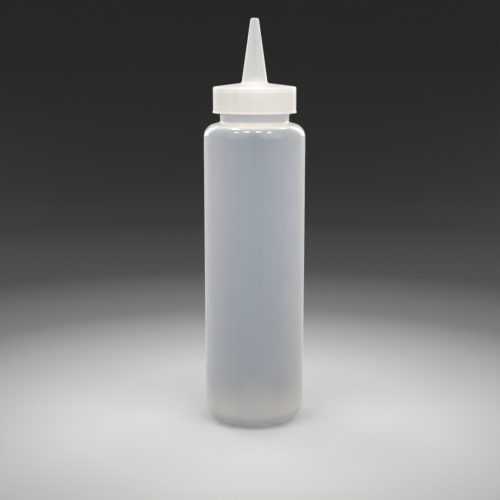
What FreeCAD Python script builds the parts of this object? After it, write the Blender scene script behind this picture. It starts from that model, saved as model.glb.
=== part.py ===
import FreeCAD, Part
import math
import os

# Squeeze bottle for sauce: a blow-moulded bottle and a one-piece screw cap with a tapering nozzle.
# Millimetres, +Z up, origin on the standing plane in the middle of the base.

# Bottle body
body_diameter = 54.0
body_height = 161.2          # to where the wall and the shoulder's slope would meet
body_wall = 1.0
heel_radius = 10.0

# Base, with a recess whose ramp rises to a flat middle, so that the bottle stands on a ring
base_wall = 1.3
recess_diameter = 27.0
recess_floor_diameter = 15.0
recess_depth = 2.6

# Shoulder
shoulder_slope = 16.0        # degrees from level
shoulder_radius = 6.5
shoulder_wall = 1.2

# Neck, whose rim is trimmed flat
neck_diameter = 36.6
neck_height = 16.8           # from the shoulder to the rim
neck_wall = 1.6
neck_foot_radius = 1.0

# Cap skirt, with a small flare at its foot
thread_room = 1.9            # between the neck and the skirt's bore, for both threads
skirt_wall = 1.8
skirt_depth = 11.8
flare_width = 0.35
flare_height = 1.3
cap_edge_radius = 0.9

# Cap top, with the land that closes on the rim and the ring that seals the mouth
seat_gap = 0.05
cap_top_wall = 1.7
cap_top_rise = 1.9           # from the edge of the cap to the root of the nozzle
seal_gap = 0.3
seal_wall = 1.2
seal_depth = 3.0

# Nozzle
nozzle_root_diameter = 13.6
nozzle_tip_diameter = 4.1
nozzle_length = 33.6
nozzle_wall = 1.15
nozzle_root_radius = 1.6
nozzle_tip_radius = 0.9

# Flats that stand for an arc on small edges, at the root of the nozzle and on the inside of the bottle
edge_flats = 1
root_flats = 2
inside_flats = 3


def point(radius, height):
    return FreeCAD.Vector(radius, 0, height)


def line(start, end):
    return Part.LineSegment(start, end).toShape()


def arc(start, middle, end, flats):
    """Edges of an arc through three points: one true arc, or as many flats as are given."""
    curve = Part.Arc(start, middle, end)
    if flats == 0:
        return [curve.toShape()]
    stops = curve.discretize(flats + 1)
    return [line(low, high) for low, high in zip(stops, stops[1:])]


def corner(radius, height, rounding=0, flats=0):
    return point(radius, height), rounding, flats


def rounded_path(corners):
    """Edges in the XZ plane from corner to corner, with each rounding tangent to both its sides."""
    places = [place for place, rounding, flats in corners]
    edges = []
    start = places[0]
    for index in range(1, len(corners) - 1):
        place, rounding, flats = corners[index]
        if rounding == 0:
            edges.append(line(start, place))
            start = place
            continue
        back = (places[index - 1] - place).normalize()
        ahead = (places[index + 1] - place).normalize()
        half_angle = back.getAngle(ahead) / 2
        reach = rounding / math.tan(half_angle)
        depth = rounding / math.sin(half_angle) - rounding
        middle = place + (back + ahead).normalize() * depth
        edges.append(line(start, place + back * reach))
        edges += arc(place + back * reach, middle, place + ahead * reach, flats)
        start = place + ahead * reach
    edges.append(line(start, places[-1]))
    return edges


def turned(edges):
    """Solid of revolution about Z."""
    outline = Part.Wire(Part.__sortEdges__(edges))
    return Part.Face(outline).revolve(FreeCAD.Vector(0, 0, 0), FreeCAD.Vector(0, 0, 1), 360)


body_radius = body_diameter / 2
body_bore = body_radius - body_wall
neck_radius = neck_diameter / 2
neck_bore = neck_radius - neck_wall
slope = math.tan(math.radians(shoulder_slope))
shoulder_drop = shoulder_wall / math.cos(math.radians(shoulder_slope))


def shoulder_level(radius):
    """Height of the shoulder's outer slope at a radius."""
    return body_height + (body_radius - radius) * slope


rim_level = shoulder_level(neck_radius) + neck_height


def bottle():
    """Shell of the bottle: the outside from the base up to the rim, then the inside back down."""
    recess_radius = recess_diameter / 2
    recess_floor = recess_floor_diameter / 2
    wall = rounded_path([
        corner(0, recess_depth),
        corner(recess_floor, recess_depth),
        corner(recess_radius, 0),
        corner(body_radius, 0, heel_radius),
        corner(body_radius, body_height, shoulder_radius),
        corner(neck_radius, shoulder_level(neck_radius), neck_foot_radius, edge_flats),
        corner(neck_radius, rim_level),
        corner(neck_bore, rim_level),
        corner(neck_bore, shoulder_level(neck_bore) - shoulder_drop),
        corner(body_bore, shoulder_level(body_bore) - shoulder_drop, shoulder_radius - body_wall, inside_flats),
        corner(body_bore, base_wall, heel_radius - body_wall, inside_flats),
        corner(recess_radius, base_wall),
        corner(recess_floor, recess_depth + base_wall),
        corner(0, recess_depth + base_wall),
    ])
    axis = line(point(0, recess_depth), point(0, recess_depth + base_wall))
    return turned(wall + [axis])


def nozzle_cap():
    """Cap and nozzle in one: the outside from the skirt up to the tip, then the inside back down."""
    land = rim_level + seat_gap
    skirt_foot = land - skirt_depth
    skirt_bore = neck_radius + thread_room
    skirt_radius = skirt_bore + skirt_wall
    flare_radius = skirt_radius + flare_width
    top_edge = land + cap_top_wall
    root_radius = nozzle_root_diameter / 2
    root_level = top_edge + cap_top_rise
    tip_radius = nozzle_tip_diameter / 2
    tip_level = root_level + nozzle_length
    seal_outside = neck_bore - seal_gap
    seal_inside = seal_outside - seal_wall
    seal_foot = land - seal_depth
    return turned(rounded_path([
        corner(skirt_bore, skirt_foot),
        corner(flare_radius, skirt_foot),
        corner(skirt_radius, skirt_foot + flare_height),
        corner(skirt_radius, top_edge, cap_edge_radius, edge_flats),
        corner(root_radius, root_level, nozzle_root_radius, root_flats),
        corner(tip_radius, tip_level, nozzle_tip_radius, edge_flats),
        corner(tip_radius - nozzle_wall, tip_level),
        corner(root_radius - nozzle_wall, root_level - cap_top_wall),
        corner(seal_inside, land),
        corner(seal_inside, seal_foot),
        corner(seal_outside, seal_foot),
        corner(seal_outside, land),
        corner(skirt_bore, land),
        corner(skirt_bore, skirt_foot),
    ]))


os.makedirs("parts", exist_ok=True)
bottle().exportStep("parts/bottle.step")
nozzle_cap().exportStep("parts/nozzle_cap.step")
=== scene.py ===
import math

import bmesh
import bpy
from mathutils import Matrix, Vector


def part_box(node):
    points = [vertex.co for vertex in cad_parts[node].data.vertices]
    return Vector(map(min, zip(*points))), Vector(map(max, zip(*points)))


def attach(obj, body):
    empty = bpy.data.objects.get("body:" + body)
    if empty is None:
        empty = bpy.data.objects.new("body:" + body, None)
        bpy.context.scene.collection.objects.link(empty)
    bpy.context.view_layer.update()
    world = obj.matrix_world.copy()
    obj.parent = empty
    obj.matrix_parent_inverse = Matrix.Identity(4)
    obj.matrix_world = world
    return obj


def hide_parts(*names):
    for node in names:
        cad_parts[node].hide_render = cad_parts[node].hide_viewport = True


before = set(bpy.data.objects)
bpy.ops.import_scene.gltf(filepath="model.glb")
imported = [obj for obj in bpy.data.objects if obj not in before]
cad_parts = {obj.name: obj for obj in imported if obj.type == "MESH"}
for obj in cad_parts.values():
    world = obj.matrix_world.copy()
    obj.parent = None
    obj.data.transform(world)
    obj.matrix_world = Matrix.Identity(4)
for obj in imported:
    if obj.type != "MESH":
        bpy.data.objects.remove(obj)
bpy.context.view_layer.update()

# Metres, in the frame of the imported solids: +Z up, origin in the middle of the base.
bottle_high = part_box("bottle")[1]
cap_low, cap_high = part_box("nozzle_cap")

# Bottle
body_radius = bottle_high[0]
body_height = 0.1612            # to where the wall and the shoulder's slope would meet
body_bore = body_radius - 0.0010
heel_radius = 0.010
base_wall = 0.0013
recess_radius = 0.0135
recess_floor = 0.0075
recess_depth = 0.0026
recess_rounding = 0.0020
shoulder_slope = math.tan(math.radians(16))
shoulder_radius = 0.0065
shoulder_drop = 0.00125         # upright thickness of the sloping shoulder
neck_radius = 0.0183
neck_bore = 0.0167
neck_foot_radius = 0.0010
rim_level = bottle_high[2]
rim_rounding = 0.0002
rim_middle = (neck_radius + neck_bore) / 2

# Cap and nozzle
skirt_foot = cap_low[2]
skirt_bore = 0.0202
skirt_radius = 0.0220
skirt_middle = (skirt_bore + skirt_radius) / 2
flare_radius = cap_high[0]
flare_height = 0.0013
small_rounding = 0.0003
land_level = rim_level + 0.00005
cap_top_edge = land_level + 0.0017
cap_edge_radius = 0.0009
seal_outside = 0.0164
seal_inside = 0.0152
seal_foot = land_level - 0.0030
nozzle_root_radius = 0.0068
nozzle_root_level = cap_top_edge + 0.0019
nozzle_root_rounding = 0.0016
passage_root_radius = 0.00565
passage_root_level = nozzle_root_level - 0.0017
passage_root_rounding = 0.0008
tip_radius = 0.00205
tip_bore = 0.0009
tip_middle = 0.00100
tip_level = cap_high[2]
tip_rounding = 0.0011
tip_bore_rounding = 0.00005

# Screw threads, right-handed
thread_pitch = 0.0042
thread_start_angle = math.radians(150)
thread_run_out = math.radians(28)
neck_thread = {"start": 0.1678, "turns": 1.75, "height": 0.0014, "root": 0.0011, "crest": 0.0004}
cap_thread = {"start": 0.1699, "turns": 1.50, "height": 0.0013, "root": 0.0009, "crest": 0.0003}

# Parting line of the blow mould, and the weld where the base was pinched off
parting_step = 11               # spin steps from the X axis
parting_width = 0.0004
parting_rise = 0.00006
weld_rise = 0.00035
weld_reach = 0.0095

# Mesh fineness
sides = 200
arc_steps = 16
wall_row = 0.0030
thread_row = 0.00025
same_place = 1e-6               # points this close are one
on_ridge = 1e-5                 # points this close to the parting plane are its ridge

# Milky polyethylene
body_haze = 0.30
body_gloss = 1.0
body_lamp_share = 0.7           # of the lamps' light, what the wall lets through
cap_haze = 0.35
cap_gloss = 0.2
cap_lamp_share = 0.8
gloss_roughness = 0.03
cavity_roughness = 0.5
plastic_ior = 1.5
edge_blend = 0.75               # how soon the wall whitens towards its edges
edge_clearness = 0.02
cloud_strength = 0.02
cloud_detail = 3
cloud_scales = ((70, 70, 70), (320, 320, 9))
noise_low = 0.3
noise_high = 0.7
ripple_size = 0.006
ripple_depth = 0.00002
ripple_detail = 2


def shoulder_level(radius):
    """Height of the shoulder's outer slope at a radius."""
    return body_height + (body_radius - radius) * shoulder_slope


def outline(mesh, corners):
    """Wire in the XZ plane through corners of (radius, height, rounding)."""
    points = [mesh.verts.new((radius, 0, height)) for radius, height, rounding in corners]
    for start, end in zip(points, points[1:]):
        mesh.edges.new((start, end))
    for point, (radius, height, rounding) in list(zip(points, corners))[1:-1]:
        if rounding == 0:
            continue
        back, ahead = [edge.other_vert(point).co - point.co for edge in point.link_edges]
        reach = rounding / math.tan(back.angle(ahead) / 2)
        bmesh.ops.bevel(mesh, geom=[point], offset=reach, offset_type="OFFSET", affect="VERTICES",
                        segments=arc_steps, profile=0.5, material=-1)


def divide(mesh, edges, row):
    """Divides long edges into rows."""
    for edge in edges:
        cuts = int(edge.calc_length() / row)
        if cuts:
            bmesh.ops.subdivide_edges(mesh, edges=[edge], cuts=cuts)


def spin(mesh, steps):
    """Turns a wire about the Z axis."""
    bmesh.ops.spin(mesh, geom=mesh.verts[:] + mesh.edges[:], cent=(0, 0, 0), axis=(0, 0, 1),
                   angle=2 * math.pi, steps=steps, use_merge=True)


def close(mesh):
    """Joins points that share a place and turns all faces outwards."""
    bmesh.ops.remove_doubles(mesh, verts=mesh.verts, dist=same_place)
    bmesh.ops.recalc_face_normals(mesh, faces=mesh.faces)


def turn(corners, thread_wall=None):
    """Turned skin from an outline, with finer rows on a wall that carries a thread."""
    mesh = bmesh.new()
    outline(mesh, corners)
    threaded = [edge for edge in mesh.edges if all(vertex.co.x == thread_wall for vertex in edge.verts)]
    plain = [edge for edge in mesh.edges if edge not in threaded]
    divide(mesh, threaded, thread_row)
    divide(mesh, plain, wall_row)
    spin(mesh, sides)
    return mesh


def joined(outside, inside):
    """One closed skin from an outside and an inside, each with its own finish."""
    for face in inside.faces:
        face.material_index = 1
    data = bpy.data.meshes.new("inside")
    inside.to_mesh(data)
    inside.free()
    outside.from_mesh(data)
    bpy.data.meshes.remove(data)
    close(outside)
    return outside


def thread_rise(angle, level, thread):
    """How far a thread stands out of its wall at an angle and a level."""
    rise = 0.0
    for whole_turns in range(3):
        travel = (angle - thread_start_angle) % (2 * math.pi) + whole_turns * 2 * math.pi
        left = thread["turns"] * 2 * math.pi - travel
        if left < 0:
            continue
        middle = thread["start"] + thread_pitch * travel / (2 * math.pi)
        flank = (thread["root"] - abs(level - middle)) / (thread["root"] - thread["crest"])
        end = min(travel, left) / thread_run_out
        share = min(max(flank, 0), 1) * min(end, 1)
        rise = max(rise, thread["height"] * share * share * (3 - 2 * share))
    return rise


def raise_thread(mesh, wall_radius, outwards, thread):
    """Moves the points of a round wall out or in along a thread."""
    for vertex in mesh.verts:
        radius = math.hypot(vertex.co.x, vertex.co.y)
        if abs(radius - wall_radius) > same_place:
            continue
        rise = thread_rise(math.atan2(vertex.co.y, vertex.co.x), vertex.co.z, thread)
        scale = (radius + outwards * rise) / radius
        vertex.co.x *= scale
        vertex.co.y *= scale


def raise_parting_line(mesh):
    """Fine ridge up both sides of the bottle along its mould's parting plane, taller across the base."""
    angle = -parting_step * 2 * math.pi / sides
    across = Vector((-math.sin(angle), math.cos(angle), 0))
    on_plane = [edge for edge in mesh.edges
                if all(abs(vertex.co.dot(across)) < same_place for vertex in edge.verts)]
    below_neck = [edge for edge in on_plane if max(vertex.co.z for vertex in edge.verts) < body_height]
    bmesh.ops.bevel(mesh, geom=below_neck, offset=parting_width / 2, offset_type="OFFSET", affect="EDGES",
                    segments=2, profile=0.5, material=-1)
    mesh.normal_update()
    for vertex in mesh.verts:
        if abs(vertex.co.dot(across)) > on_ridge or vertex.co.z > body_height:
            continue
        on_base = math.hypot(vertex.co.x, vertex.co.y) < weld_reach
        vertex.co += vertex.normal * (weld_rise if on_base else parting_rise)


def placed(name, mesh, materials):
    """Puts a finished mesh into the scene."""
    data = bpy.data.meshes.new(name)
    mesh.to_mesh(data)
    mesh.free()
    data.shade_smooth()
    for material in materials:
        data.materials.append(material)
    thing = bpy.data.objects.new(name, data)
    bpy.context.scene.collection.objects.link(thing)
    return thing


def piece(name, mesh, materials, body, node):
    """Makes a finished mesh the visible form of a solid."""
    thing = placed(name, mesh, materials)
    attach(thing, body)
    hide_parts(node)


def bottle_mesh():
    """Blow-moulded shell, an outside and an inside that meet on the rim."""
    outside = turn([
        (0, recess_depth, 0),
        (recess_floor, recess_depth, recess_rounding),
        (recess_radius, 0, recess_rounding),
        (body_radius, 0, heel_radius),
        (body_radius, body_height, shoulder_radius),
        (neck_radius, shoulder_level(neck_radius), neck_foot_radius),
        (neck_radius, rim_level, rim_rounding),
        (rim_middle, rim_level, 0),
    ], thread_wall=neck_radius)
    raise_thread(outside, neck_radius, 1, neck_thread)
    close(outside)
    raise_parting_line(outside)
    inside = turn([
        (0, recess_depth + base_wall, 0),
        (recess_floor, recess_depth + base_wall, recess_rounding),
        (recess_radius, base_wall, recess_rounding),
        (body_bore, base_wall, heel_radius - body_radius + body_bore),
        (body_bore, shoulder_level(body_bore) - shoulder_drop, shoulder_radius - body_radius + body_bore),
        (neck_bore, shoulder_level(neck_bore) - shoulder_drop, neck_foot_radius),
        (neck_bore, rim_level, rim_rounding),
        (rim_middle, rim_level, 0),
    ])
    return joined(outside, inside)


def nozzle_cap_mesh():
    """Cap and nozzle in one, an outside and an inside that meet at the skirt's foot and at the tip."""
    outside = turn([
        (skirt_middle, skirt_foot, 0),
        (flare_radius, skirt_foot, small_rounding / 2),
        (skirt_radius, skirt_foot + flare_height, small_rounding),
        (skirt_radius, cap_top_edge, cap_edge_radius),
        (nozzle_root_radius, nozzle_root_level, nozzle_root_rounding),
        (tip_radius, tip_level, tip_rounding),
        (tip_middle, tip_level, 0),
    ])
    inside = turn([
        (tip_middle, tip_level, 0),
        (tip_bore, tip_level, tip_bore_rounding),
        (passage_root_radius, passage_root_level, passage_root_rounding),
        (seal_inside, land_level, small_rounding),
        (seal_inside, seal_foot, small_rounding),
        (seal_outside, seal_foot, small_rounding),
        (seal_outside, land_level, small_rounding),
        (skirt_bore, land_level, small_rounding),
        (skirt_bore, skirt_foot, small_rounding),
        (skirt_middle, skirt_foot, 0),
    ], thread_wall=skirt_bore)
    raise_thread(inside, skirt_bore, -1, cap_thread)
    return joined(outside, inside)


def let_lamps_in(material, share):
    """Lets a share of the lamps' light through a wall, to whatever is behind it."""
    nodes = material.node_tree.nodes
    links = material.node_tree.links
    output = nodes["Material Output"]
    surface = output.inputs["Surface"].links[0].from_socket
    path = nodes.new("ShaderNodeLightPath")
    part = nodes.new("ShaderNodeMath")
    part.operation = "MULTIPLY"
    part.inputs[1].default_value = share
    clear = nodes.new("ShaderNodeBsdfTransparent")
    mix = nodes.new("ShaderNodeMixShader")
    links.new(path.outputs["Is Shadow Ray"], part.inputs[0])
    links.new(part.outputs["Value"], mix.inputs["Fac"])
    links.new(surface, mix.inputs[1])
    links.new(clear.outputs["BSDF"], mix.inputs[2])
    links.new(mix.outputs["Shader"], output.inputs["Surface"])


def new_material(name):
    """Material with its node tree's nodes and links."""
    material = bpy.data.materials.new(name)
    material.use_nodes = True
    return material, material.node_tree.nodes, material.node_tree.links


def shades(nodes, links, distance, stops):
    """Colour ramp along a distance, from stops of (distance, colour)."""
    low = stops[0][0]
    high = stops[-1][0]
    span = nodes.new("ShaderNodeMapRange")
    span.inputs["From Min"].default_value = low
    span.inputs["From Max"].default_value = high
    ramp = nodes.new("ShaderNodeValToRGB")
    places = ramp.color_ramp.elements
    while len(places) < len(stops):
        places.new(0.5)
    for place, (stop, colour) in zip(places, stops):
        place.position = (stop - low) / (high - low)
    for place, (stop, colour) in zip(places, stops):
        place.color = (*colour, 1)
    links.new(distance, span.inputs["Value"])
    links.new(span.outputs["Result"], ramp.inputs["Fac"])
    return ramp.outputs["Color"]


def by_height(nodes, links, stops):
    """Colour along the height of the piece, from stops of (height, colour)."""
    place = nodes.new("ShaderNodeTexCoord")
    axes = nodes.new("ShaderNodeSeparateXYZ")
    links.new(place.outputs["Object"], axes.inputs["Vector"])
    return shades(nodes, links, axes.outputs["Z"], stops)


def cloudy(nodes, links, colour):
    """Varies a colour with faint clouds and with streaks along the height."""
    place = nodes.new("ShaderNodeTexCoord")
    for scale in cloud_scales:
        stretch = nodes.new("ShaderNodeMapping")
        stretch.inputs["Scale"].default_value = scale
        noise = nodes.new("ShaderNodeTexNoise")
        noise.inputs["Scale"].default_value = 1
        noise.inputs["Detail"].default_value = cloud_detail
        level = nodes.new("ShaderNodeMapRange")
        level.inputs["From Min"].default_value = noise_low
        level.inputs["From Max"].default_value = noise_high
        level.inputs["To Min"].default_value = 1 - cloud_strength
        level.inputs["To Max"].default_value = 1 + cloud_strength
        shade = nodes.new("ShaderNodeVectorMath")
        shade.operation = "SCALE"
        links.new(place.outputs["Object"], stretch.inputs["Vector"])
        links.new(stretch.outputs["Vector"], noise.inputs["Vector"])
        links.new(noise.outputs["Fac"], level.inputs["Value"])
        links.new(colour, shade.inputs[0])
        links.new(level.outputs["Result"], shade.inputs["Scale"])
        colour = shade.outputs["Vector"]
    return colour


def ripple(nodes, links):
    """Uneven skin of a moulding, as a surface direction."""
    place = nodes.new("ShaderNodeTexCoord")
    noise = nodes.new("ShaderNodeTexNoise")
    noise.inputs["Scale"].default_value = 1 / ripple_size
    noise.inputs["Detail"].default_value = ripple_detail
    bump = nodes.new("ShaderNodeBump")
    bump.inputs["Distance"].default_value = ripple_depth
    links.new(place.outputs["Object"], noise.inputs["Vector"])
    links.new(noise.outputs["Fac"], bump.inputs["Height"])
    return bump.outputs["Normal"]


def milky_outside(name, colours, clearness, haze, gloss):
    """Milky polyethylene as seen from outside: clearest face on, and white where it is seen edge on."""
    material, nodes, links = new_material(name)
    shader = nodes["Principled BSDF"]
    links.new(cloudy(nodes, links, by_height(nodes, links, colours)), shader.inputs["Base Color"])
    links.new(ripple(nodes, links), shader.inputs["Normal"])
    shader.inputs["Roughness"].default_value = haze
    shader.inputs["Coat Weight"].default_value = gloss
    shader.inputs["Coat Roughness"].default_value = gloss_roughness
    facing = nodes.new("ShaderNodeLayerWeight")
    facing.inputs["Blend"].default_value = edge_blend
    see_through = nodes.new("ShaderNodeMapRange")
    see_through.inputs["To Max"].default_value = edge_clearness
    links.new(by_height(nodes, links, clearness), see_through.inputs["To Min"])
    links.new(facing.outputs["Facing"], see_through.inputs["Value"])
    links.new(see_through.outputs["Result"], shader.inputs["Transmission Weight"])
    return material


def milky_inside(name, colours, haze):
    """Cavity side of a wall: plain from the cavity, and clear from within the wall."""
    material, nodes, links = new_material(name)
    shader = nodes["Principled BSDF"]
    shader.inputs["Roughness"].default_value = cavity_roughness
    links.new(by_height(nodes, links, colours), shader.inputs["Base Color"])
    geometry = nodes.new("ShaderNodeNewGeometry")
    clear = nodes.new("ShaderNodeBsdfRefraction")
    clear.inputs["Roughness"].default_value = haze
    clear.inputs["IOR"].default_value = plastic_ior
    mix = nodes.new("ShaderNodeMixShader")
    links.new(geometry.outputs["Backfacing"], mix.inputs["Fac"])
    links.new(shader.outputs["BSDF"], mix.inputs[1])
    links.new(clear.outputs["BSDF"], mix.inputs[2])
    links.new(mix.outputs["Shader"], nodes["Material Output"].inputs["Surface"])
    return material


def grey(level):
    """Colour of one level in all three parts."""
    return (level, level, level)


# Bottle's finish: darker over the heel, painted shade on its downward-facing underside; darker low on the
# wall, painted shade; paler in the base, partly the thicker plastic and partly painted light; palest on the
# sloping shoulder, painted light from above, partly the thicker, less clear plastic
wall_colour = (0.59, 0.61, 0.645)
slope_painted_light_colour = (0.97, 0.92, 0.86)
neck_colour = (0.58, 0.61, 0.64)
slope_start = 0.1608
slope_full = 0.1622
slope_end = 0.1639
neck_start = 0.1648
body_outside = milky_outside(
    "milky_body",
    [(0.0020, (0.54, 0.56, 0.59)), (0.0035, (0.44, 0.46, 0.50)), (0.0065, (0.46, 0.475, 0.505)),
     (0.0085, (0.60, 0.58, 0.555)), (0.014, (0.56, 0.55, 0.53)), (0.024, (0.47, 0.48, 0.50)),
     (0.045, (0.485, 0.505, 0.53)), (0.120, wall_colour), (slope_start, wall_colour),
     (slope_full, slope_painted_light_colour), (slope_end, slope_painted_light_colour), (neck_start, neck_colour)],
    [(slope_start, grey(0.60)), (slope_full, grey(0.08))],
    body_haze, body_gloss)
# Cavity side, paler and warmer on the cavity's floor: painted light on the upward-facing floor
body_inside = milky_inside(
    "milky_body_inside",
    [(0.0075, (0.86, 0.81, 0.76)), (0.011, (0.53, 0.64, 0.78)), (0.100, (0.62, 0.74, 0.87))],
    body_haze)

# Cap's finish, whitest round its top, with a clearer nozzle. The white band round the top is partly the thick
# top plate and partly painted light from above; the darker tone at the nozzle's root is painted shade
skirt_top = land_level - 0.0014
painted_light_band_level = land_level - 0.0004
nozzle_clear_level = nozzle_root_level + 0.004
cap_outside = milky_outside(
    "milky_cap",
    [(skirt_top, (0.90, 0.87, 0.83)), (painted_light_band_level, (0.96, 0.95, 0.94)), (cap_top_edge, (0.95, 0.94, 0.93)),
     (nozzle_root_level, (0.86, 0.855, 0.85)), (tip_level, (0.89, 0.89, 0.88))],
    [(skirt_top, grey(0.12)), (land_level, grey(0.02)), (nozzle_root_level, grey(0.02)),
     (nozzle_clear_level, grey(0.33)), (tip_level, grey(0.45))],
    cap_haze, cap_gloss)
cap_inside = milky_inside(
    "milky_cap_inside",
    [(nozzle_root_level, (0.65, 0.64, 0.62)), (nozzle_clear_level, (0.42, 0.45, 0.49))],
    cap_haze)

for wall in (body_outside, body_inside):
    let_lamps_in(wall, body_lamp_share)
for wall in (cap_outside, cap_inside):
    let_lamps_in(wall, cap_lamp_share)
piece("bottle_shell", bottle_mesh(), [body_outside, body_inside], "bottle", "bottle")
piece("screw_cap_with_nozzle", nozzle_cap_mesh(), [cap_outside, cap_inside], "cap", "nozzle_cap")

# Floor that sweeps up into a round backdrop, evenly pale in the light it throws on the bottle, with a painted
# pool of light round the bottle's foot and a dark backdrop to the camera
backdrop_radius = 1.7
backdrop_rounding = 0.9
backdrop_height = 1.6
backdrop_sides = 64
backdrop_row = 0.05
floor_roughness = 0.9
floor_shine = 0.2
floor_painted_light_pool = [(0.06, grey(0.68)), (0.10, grey(0.62)), (0.16, grey(0.44)), (0.25, grey(0.19)),
                (0.40, grey(0.06)), (0.70, grey(0.02))]


def floor_finish():
    """Pale wherever it lights the bottle; to the camera, a painted pool of light at the bottle's foot that
    fades to a dark backdrop.
    """
    material, nodes, links = new_material("studio_floor")
    shader = nodes["Principled BSDF"]
    shader.inputs["Roughness"].default_value = floor_roughness
    shader.inputs["Specular IOR Level"].default_value = floor_shine
    place = nodes.new("ShaderNodeTexCoord")
    reach = nodes.new("ShaderNodeVectorMath")
    reach.operation = "LENGTH"
    path = nodes.new("ShaderNodeLightPath")
    seen_reach = nodes.new("ShaderNodeMath")
    seen_reach.operation = "MULTIPLY"
    links.new(place.outputs["Object"], reach.inputs[0])
    links.new(reach.outputs["Value"], seen_reach.inputs[0])
    links.new(path.outputs["Is Camera Ray"], seen_reach.inputs[1])
    links.new(shades(nodes, links, seen_reach.outputs["Value"], floor_painted_light_pool), shader.inputs["Base Color"])
    return material


def floor_mesh():
    """Floor and backdrop in one sheet."""
    mesh = bmesh.new()
    outline(mesh, [(0, 0, 0), (backdrop_radius, 0, backdrop_rounding), (backdrop_radius, backdrop_height, 0)])
    divide(mesh, mesh.edges[:], backdrop_row)
    spin(mesh, backdrop_sides)
    close(mesh)
    return mesh


placed("floor", floor_mesh(), [floor_finish()])


def lamp(name, place, target, width, depth, watts, colour):
    """Rectangular soft lamp that faces a point."""
    data = bpy.data.lights.new(name, "AREA")
    data.shape = "RECTANGLE"
    data.size = width
    data.size_y = depth
    data.energy = watts
    data.color = colour
    thing = bpy.data.objects.new(name, data)
    thing.location = place
    thing.rotation_euler = (Vector(target) - Vector(place)).to_track_quat("-Z", "Y").to_euler()
    bpy.context.scene.collection.objects.link(thing)


# Ceiling lamps, whose reflections lie in two rows on the shoulder
ceiling_level = 1.3
ceiling_width = 0.18
ceiling_depth = 0.30
ceiling_colour = (1, 0.97, 0.93)
near_row = -0.40
near_row_watts = 1.7
ceiling_lamps = [(across, near_row, near_row_watts) for across in (-0.68, -0.27, 0.14, 0.55)]
ceiling_lamps += [(-0.43, 0.35, 2.0), (0.60, 0.75, 1.1)]
for across, along, watts in ceiling_lamps:
    lamp("ceiling_lamp", (across, along, ceiling_level), (across, along, 0), ceiling_width, ceiling_depth,
         watts, ceiling_colour)

# Panels behind and before the bottle, stronger and warmer on its right
rear_aim = (0, 0, 0.12)
rear_width = 0.5
rear_height = 1.0
front_aim = (0, 0, 0.1)
front_width = 1.2
front_height = 1.1
panels = ((-1, 2.4, 3.1, (1, 0.98, 0.96)), (1, 3, 5.3, (1, 0.94, 0.87)))
for side, rear_watts, front_watts, colour in panels:
    lamp("rear_panel", (side * 0.72, 0.95, 0.45), rear_aim, rear_width, rear_height, rear_watts, colour)
    lamp("front_panel", (side * 0.80, -0.92, 0.80), front_aim, front_width, front_height, front_watts, colour)

# Even light from all round
fill_colour = (0.92, 0.97, 1.0, 1)
fill_strength = 0.41
world = bpy.data.worlds.new("studio")
world.use_nodes = True
fill = world.node_tree.nodes["Background"]
fill.inputs["Color"].default_value = fill_colour
fill.inputs["Strength"].default_value = fill_strength
bpy.context.scene.world = world

# Camera, at the photograph's viewing angle
camera_distance = 0.5507
camera_height = 0.1976
camera_tilt = math.radians(10.616)
camera_turn = math.radians(0.252)
camera_data = bpy.data.cameras.new("camera")
camera_data.sensor_width = 36
camera_data.lens = 74.05
camera = bpy.data.objects.new("camera", camera_data)
camera.location = (0, -camera_distance, camera_height)
camera.rotation_euler = (math.pi / 2 - camera_tilt, 0, camera_turn)
bpy.context.scene.collection.objects.link(camera)
bpy.context.scene.camera = camera
bpy.context.scene.view_settings.view_transform = "Standard"
